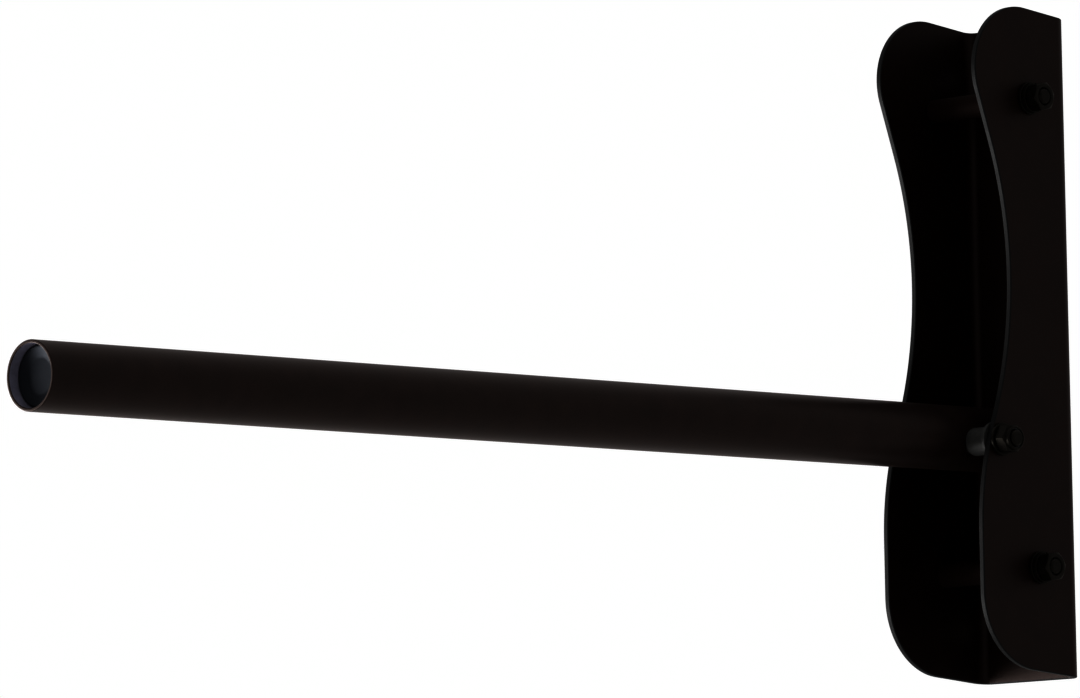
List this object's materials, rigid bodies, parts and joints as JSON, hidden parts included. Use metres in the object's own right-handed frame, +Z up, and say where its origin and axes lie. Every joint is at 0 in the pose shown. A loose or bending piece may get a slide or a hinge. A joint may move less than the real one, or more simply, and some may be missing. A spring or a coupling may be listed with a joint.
{
  "type": "wall cue rack",
  "caption": "Wall bracket folded from steel channel with S-shaped cheeks, carrying a long round tube arm that stands out level and folds up between the cheeks on a cross bolt.",
  "frame": {"origin": "back face of the channel's web, on its centreline and half way up, where it meets the wall", "axes": "wall plane is y = 0, the arm points along -Y away from the wall, +Z is up, +X is to the right seen along +Y"},
  "size_m": [0.0865, 0.6434, 0.3307],
  "materials": {
    "wall_bracket": "black powder coat, satin",
    "pivot_bolt": "blackened, satin",
    "pivot_head_washer": "blackened, satin",
    "pivot_nut_washer": "blackened, satin",
    "pivot_lock_nut": "blackened, satin",
    "pivot_nut_insert": "moulded nylon",
    "pivot_thrust_washer_left": "blackened, satin",
    "pivot_thrust_washer_right": "blackened, satin",
    "pivot_spacer_left": "blackened, satin",
    "pivot_spacer_right": "blackened, satin",
    "upper_cross_bolt": "blackened, satin",
    "upper_head_washer": "blackened, satin",
    "upper_nut_washer": "blackened, satin",
    "upper_nut": "blackened, satin",
    "upper_spring_washer": "blackened, satin",
    "upper_spacer_tube": "black powder coat, satin",
    "lower_cross_bolt": "blackened, satin",
    "lower_head_washer": "blackened, satin",
    "lower_nut_washer": "blackened, satin",
    "lower_nut": "blackened, satin",
    "lower_spring_washer": "blackened, satin",
    "lower_spacer_tube": "black powder coat, satin",
    "arm_tube": "black powder coat, satin",
    "arm_end_plug": "moulded, satin",
    "arm_pivot_sleeve": "blackened, satin"
  },
  "bodies": {
    "bracket": {"wall_bracket": "wall_bracket", "pivot_bolt": "pivot_bolt", "pivot_head_washer": "pivot_head_washer", "pivot_nut_washer": "pivot_nut_washer", "pivot_lock_nut": "pivot_lock_nut", "pivot_nut_insert": "pivot_nut_insert", "pivot_thrust_washer_left": "pivot_thrust_washer_left", "pivot_thrust_washer_right": "pivot_thrust_washer_right", "pivot_spacer_left": "pivot_spacer_left", "pivot_spacer_right": "pivot_spacer_right", "upper_cross_bolt": "upper_cross_bolt", "upper_head_washer": "upper_head_washer", "upper_nut_washer": "upper_nut_washer", "upper_nut": "upper_nut", "upper_spring_washer": "upper_spring_washer", "upper_spacer_tube": "upper_spacer_tube", "lower_cross_bolt": "lower_cross_bolt", "lower_head_washer": "lower_head_washer", "lower_nut_washer": "lower_nut_washer", "lower_nut": "lower_nut", "lower_spring_washer": "lower_spring_washer", "lower_spacer_tube": "lower_spacer_tube"},
    "arm": {"arm_tube": "arm_tube", "arm_end_plug": "arm_end_plug", "arm_pivot_sleeve": "arm_pivot_sleeve"}
  },
  "joints": [
    {"name": "arm_fold", "type": "hinge", "parent": "bracket", "child": "arm", "pos_m": [0, -0.055, -0.0495], "axis": [-1, 0, 0], "range_deg": [0, 90]}
  ]
}
